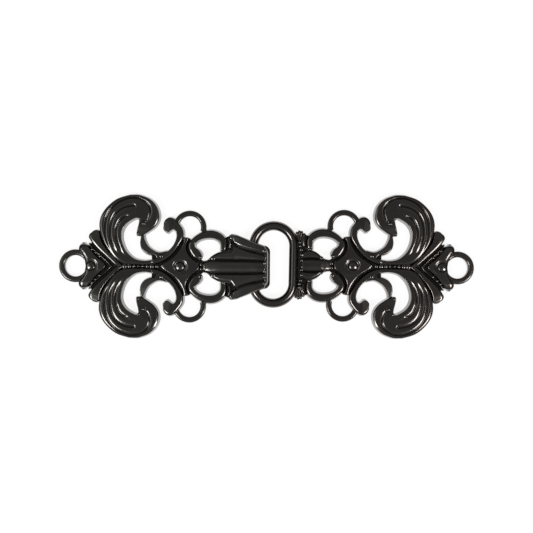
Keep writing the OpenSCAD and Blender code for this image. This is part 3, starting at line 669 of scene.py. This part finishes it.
def welded(name, mesh):
    # Points at one place become one. Triangles that this leaves without area, or back to back, are dropped.
    mesh.calc_loop_triangles()
    points = np.empty(len(mesh.vertices) * 3, np.float32)
    mesh.vertices.foreach_get("co", points)
    corners = np.empty(len(mesh.loop_triangles) * 3, int)
    mesh.loop_triangles.foreach_get("vertices", corners)
    places, which = np.unique(points.reshape(-1, 3), axis=0, return_inverse=True)
    faces = which.ravel()[corners].reshape(-1, 3)
    key = np.sort(faces, 1)
    faces = faces[(key[:, 0] != key[:, 1]) & (key[:, 1] != key[:, 2])]
    _, first, count = np.unique(np.sort(faces, 1), axis=0, return_index=True, return_counts=True)
    faces = faces[np.sort(first[count == 1])]
    clean = bpy.data.meshes.new(name)
    clean.from_pydata(places.tolist(), [], faces.tolist())
    return clean


# How each half lies in the clasp: which way its x axis points, turn in degrees, shift in millimetres.
halves = {
    "hookCasting": {"facing": 1, "turn": -0.45, "shift": (-35, 0.14)},
    "eyeCasting": {"facing": -1, "turn": -1.1, "shift": (35, -0.275)},
}
sharpFrom = 38  # degrees: flatter edges are shaded smooth


def castHalf(name, shells, extra):
    # All shells of a half in one closed skin, then the ring's hole and the curls, then the half's place.
    parts = extra + [
        bossedShell(name + "Shield", shieldRibs, shieldLook, ornamentLook["shieldBoss"]),
        bossedShell(name + "Star", starRibs, starLook, ornamentLook["starBoss"]),
    ] + [shellObject(name + "Part", shell) for shell in shells]
    whole = joined(name, parts[0], parts[1:], "UNION")
    hole = domeShell(rings["endAt"], [rings["holeRadius"]] * 2, [-1, 5], rings["endSteps"])
    cuts = [hole, *bothSides([curlDitchShell()])]
    whole = joined(name, whole, [shellObject(name + "Cut", cut) for cut in cuts], "DIFFERENCE")
    mesh, half = whole.data, halves[name]
    points = np.empty(len(mesh.vertices) * 3)
    mesh.vertices.foreach_get("co", points)
    points = points.reshape(-1, 3) * [half["facing"], 1, 1]
    a = math.radians(half["turn"])
    spin = np.array([[math.cos(a), math.sin(a), 0], [-math.sin(a), math.cos(a), 0], [0, 0, 1]])
    points = points @ spin + np.array([*half["shift"], 0]) * 0.001
    mesh.vertices.foreach_set("co", points.ravel())
    if half["facing"] < 0:
        mesh.flip_normals()
    mesh = whole.data = welded(name, mesh)
    mesh.shade_smooth()
    mesh.set_sharp_from_angle(angle=math.radians(sharpFrom))
    bpy.context.scene.collection.objects.link(whole)
    whole.name = name
    print(name, "has", len(mesh.vertices), "points and", len(mesh.loop_triangles), "triangles")
    return whole


hookHalf = castHalf("hookCasting", hookHalfShells(), [hookBend("hook")])
eyeHalf = castHalf("eyeCasting", eyeHalfShells(), [])

for piece, node, finish in ((hookHalf, "hook_half", "hook_metal"), (eyeHalf, "eye_half", "eye_metal")):
    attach(piece, "root")
    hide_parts(node)


def linkAll(links, pairs):
    # One link from the first socket of each pair to the second.
    for source, target in pairs:
        links.new(source, target)


def platingAndPocketShadeGroup():
    # Two soft noises: a wide one shifts the colour and gloss from patch to patch, a fine one is the casting's
    # skin. Below the pocket's rim the colour darkens towards the pocket's floor: this is painted shade in the
    # low gaps and webs.
    group = bpy.data.node_groups.new("platingAndPocketShade", "ShaderNodeTree")
    for name, kind, value in (
        ("Vector", "Vector", None), ("Light Tone", "Color", None), ("Dark Tone", "Color", None),
        ("Patch Scale", "Float", 180), ("Skin Scale", "Float", 2600),
        ("Smoothest", "Float", 0.12), ("Roughest", "Float", 0.2),
        ("Pocket Floor", "Float", 0.0009), ("Pocket Rim", "Float", 0.0013), ("Pocket Shade", "Float", 0.5),
    ):
        socket = group.interface.new_socket(name, in_out="INPUT", socket_type="NodeSocket" + kind)
        if value is not None:
            socket.default_value = value
    for name, kind in (("Color", "Color"), ("Roughness", "Float"), ("Height", "Float")):
        group.interface.new_socket(name, in_out="OUTPUT", socket_type="NodeSocket" + kind)
    nodes = group.nodes
    given, result = nodes.new("NodeGroupInput").outputs, nodes.new("NodeGroupOutput").inputs
    patch, skin = nodes.new("ShaderNodeTexNoise"), nodes.new("ShaderNodeTexNoise")
    patch.inputs["Detail"].default_value, skin.inputs["Detail"].default_value = 3, 2
    # The pocket range is painted shade: it scales the colour down for points that lie low between the
    # ribbons.
    spread, gloss, pocket = (nodes.new("ShaderNodeMapRange") for _ in range(3))
    spread.inputs["From Min"].default_value, spread.inputs["From Max"].default_value = 0.3, 0.7
    pocket.inputs["To Max"].default_value = 1
    split = nodes.new("ShaderNodeSeparateXYZ")
    tone, shaded = nodes.new("ShaderNodeMix"), nodes.new("ShaderNodeVectorMath")
    tone.data_type, shaded.operation = "RGBA", "SCALE"
    linkAll(group.links, (
        (given["Vector"], split.inputs["Vector"]),
        (split.outputs["Z"], pocket.inputs["Value"]),
        (given["Pocket Floor"], pocket.inputs["From Min"]),
        (given["Pocket Rim"], pocket.inputs["From Max"]),
        (given["Pocket Shade"], pocket.inputs["To Min"]),
        (tone.outputs["Result"], shaded.inputs[0]),
        (pocket.outputs["Result"], shaded.inputs["Scale"]),
        (given["Vector"], patch.inputs["Vector"]),
        (given["Vector"], skin.inputs["Vector"]),
        (given["Patch Scale"], patch.inputs["Scale"]),
        (given["Skin Scale"], skin.inputs["Scale"]),
        (patch.outputs["Fac"], spread.inputs["Value"]),
        (spread.outputs["Result"], tone.inputs["Factor"]),
        (given["Light Tone"], tone.inputs["A"]),
        (given["Dark Tone"], tone.inputs["B"]),
        (patch.outputs["Fac"], gloss.inputs["Value"]),
        (given["Smoothest"], gloss.inputs["To Min"]),
        (given["Roughest"], gloss.inputs["To Max"]),
        (shaded.outputs["Vector"], result["Color"]),
        (gloss.outputs["Result"], result["Roughness"]),
        (skin.outputs["Fac"], result["Height"]),
    ))
    return group


plating = {
    "hookCasting": {"light": (0.17, 0.165, 0.152), "dark": (0.15, 0.146, 0.136)},
    "eyeCasting": {"light": (0.174, 0.158, 0.147), "dark": (0.15, 0.136, 0.126)},
    "skinDepth": 0.000002,  # metres
    "skinStrength": 0.25,
}
platingAndPocketShade = platingAndPocketShadeGroup()


def platedMetal(name, look):
    # Metal with the group's colour and gloss, painted pocket shade included; its height goes through a bump.
    material = bpy.data.materials.new(name)
    material.use_nodes = True
    nodes = material.node_tree.nodes
    shader = nodes["Principled BSDF"]
    shader.inputs["Metallic"].default_value = 1
    place, group = nodes.new("ShaderNodeTexCoord"), nodes.new("ShaderNodeGroup")
    group.node_tree = platingAndPocketShade
    group.inputs["Light Tone"].default_value = (*look["light"], 1)
    group.inputs["Dark Tone"].default_value = (*look["dark"], 1)
    bump = nodes.new("ShaderNodeBump")
    bump.inputs["Strength"].default_value = plating["skinStrength"]
    bump.inputs["Distance"].default_value = plating["skinDepth"]
    linkAll(material.node_tree.links, (
        (place.outputs["Object"], group.inputs["Vector"]),
        (group.outputs["Color"], shader.inputs["Base Color"]),
        (group.outputs["Roughness"], shader.inputs["Roughness"]),
        (group.outputs["Height"], bump.inputs["Height"]),
        (bump.outputs["Normal"], shader.inputs["Normal"]),
    ))
    return material


# Each half's material carries the painted pocket shade along with its plating tones.
for piece in (hookHalf, eyeHalf):
    piece.data.materials.clear()
    piece.data.materials.append(platedMetal(piece.name + "Plating", plating[piece.name]))
print("plated both halves")


studio = {
    # Area lights: name, azimuth, elevation, distance, size, radiance.
    "lights": [
        ("softBox", 211, 57, 0.6, (0.13, 0.2), 10),
        ("softBox", -31, 57, 0.6, (0.13, 0.2), 10),
        ("fill", 175, 52, 0.66, (0.3, 0.2), 0.8),
    ],
    "floorReach": 3.0, "floorTone": 0.25, "floorRoughness": 0.9, "floorGlow": 0.9,
    "floorHeight": -0.00002,  # just under the clasp's back
    "overhead": 0.17, "horizon": 0.02, "backdrop": 0.9,
    "brightest": (0, -0.2, 0.98),  # where the dim ceiling is brightest
    "riseRange": (0.2, 0.9),  # closeness to that place at which the ceiling is darkest and brightest
    "overCamera": 0.7,  # share of the ceiling's glow straight above
    "overCameraRange": (0.97, 0.995),  # heights in the sky between which that share sets in
}


def areaLight(name, azimuth, elevation, distance, size, radiance):
    # A light that gives off radiance all over has the power radiance * pi * area. It faces the origin.
    light = bpy.data.lights.new(name, "AREA")
    light.shape, light.size, light.size_y = "RECTANGLE", *size
    light.energy = radiance * math.pi * size[0] * size[1]
    a, e = math.radians(azimuth), math.radians(elevation)
    place = distance * Vector((math.cos(e) * math.cos(a), math.cos(e) * math.sin(a), math.sin(e)))
    lamp = bpy.data.objects.new(name, light)
    lamp.location = place
    lamp.rotation_euler = (-place).to_track_quat("-Z", "Y").to_euler()
    bpy.context.scene.collection.objects.link(lamp)


for light in studio["lights"]:
    areaLight(*light)

floorMesh = bpy.data.meshes.new("floor")
reach = studio["floorReach"]
floorCorners = [(-reach, -reach, 0), (reach, -reach, 0), (reach, reach, 0), (-reach, reach, 0)]
floorMesh.from_pydata(floorCorners, [], [(0, 1, 2, 3)])
floor = bpy.data.objects.new("floor", floorMesh)
floor.location.z = studio["floorHeight"]
bpy.context.scene.collection.objects.link(floor)
floorPaint = bpy.data.materials.new("floorPaint")
floorPaint.use_nodes = True
floorShader = floorPaint.node_tree.nodes["Principled BSDF"]
floorShader.inputs["Base Color"].default_value = (studio["floorTone"],) * 3 + (1,)
floorShader.inputs["Roughness"].default_value = studio["floorRoughness"]
floorShader.inputs["Specular IOR Level"].default_value = 0
floorShader.inputs["Emission Color"].default_value = (1, 1, 1, 1)
floorShader.inputs["Emission Strength"].default_value = studio["floorGlow"]
floorMesh.materials.append(floorPaint)

# World: dark near the horizon, dim overhead, and pale where the camera looks past the floor.
world = bpy.data.worlds.new("studioRoom")
bpy.context.scene.world = world
world.use_nodes = True
nodes = world.node_tree.nodes


def smoothRange(source, target):
    # From one end of the target to the other by 3t^2 - 2t^3, t running from 0 to 1 along the source.
    node = nodes.new("ShaderNodeMapRange")
    node.interpolation_type = "SMOOTHSTEP"
    node.inputs["From Min"].default_value, node.inputs["From Max"].default_value = source
    node.inputs["To Min"].default_value, node.inputs["To Max"].default_value = target
    return node


direction, apart = nodes.new("ShaderNodeTexCoord"), nodes.new("ShaderNodeSeparateXYZ")
height, ceiling = nodes.new("ShaderNodeVectorMath"), nodes.new("ShaderNodeMath")
seen, choose = nodes.new("ShaderNodeLightPath"), nodes.new("ShaderNodeMix")
height.operation, ceiling.operation = "DOT_PRODUCT", "MULTIPLY"
height.inputs[1].default_value = studio["brightest"]
rise = smoothRange(studio["riseRange"], (studio["horizon"], studio["overhead"]))
patch = smoothRange(studio["overCameraRange"], (1, studio["overCamera"]))
choose.inputs["B"].default_value = studio["backdrop"]
linkAll(world.node_tree.links, (
    (direction.outputs["Generated"], height.inputs[0]),
    (height.outputs["Value"], rise.inputs["Value"]),
    (direction.outputs["Generated"], apart.inputs["Vector"]),
    (apart.outputs["Z"], patch.inputs["Value"]),
    (rise.outputs["Result"], ceiling.inputs[0]),
    (patch.outputs["Result"], ceiling.inputs[1]),
    (ceiling.outputs["Value"], choose.inputs["A"]),
    (seen.outputs["Is Camera Ray"], choose.inputs["Factor"]),
    (choose.outputs["Result"], nodes["Background"].inputs["Color"]),
))
print("studio lit")

# In metres: height over the floor, what the frame spans there, nearest and farthest that is drawn.
lens = {"distance": 0.23, "across": 0.0979, "clip": (0.01, 20)}
cameraData = bpy.data.cameras.new("camera")
cameraData.lens = cameraData.sensor_width * lens["distance"] / lens["across"]
cameraData.clip_start, cameraData.clip_end = lens["clip"]
camera = bpy.data.objects.new("camera", cameraData)
camera.location = (0, 0, lens["distance"])
bpy.context.scene.collection.objects.link(camera)
bpy.context.scene.camera = camera
bpy.context.scene.view_settings.view_transform = "Standard"
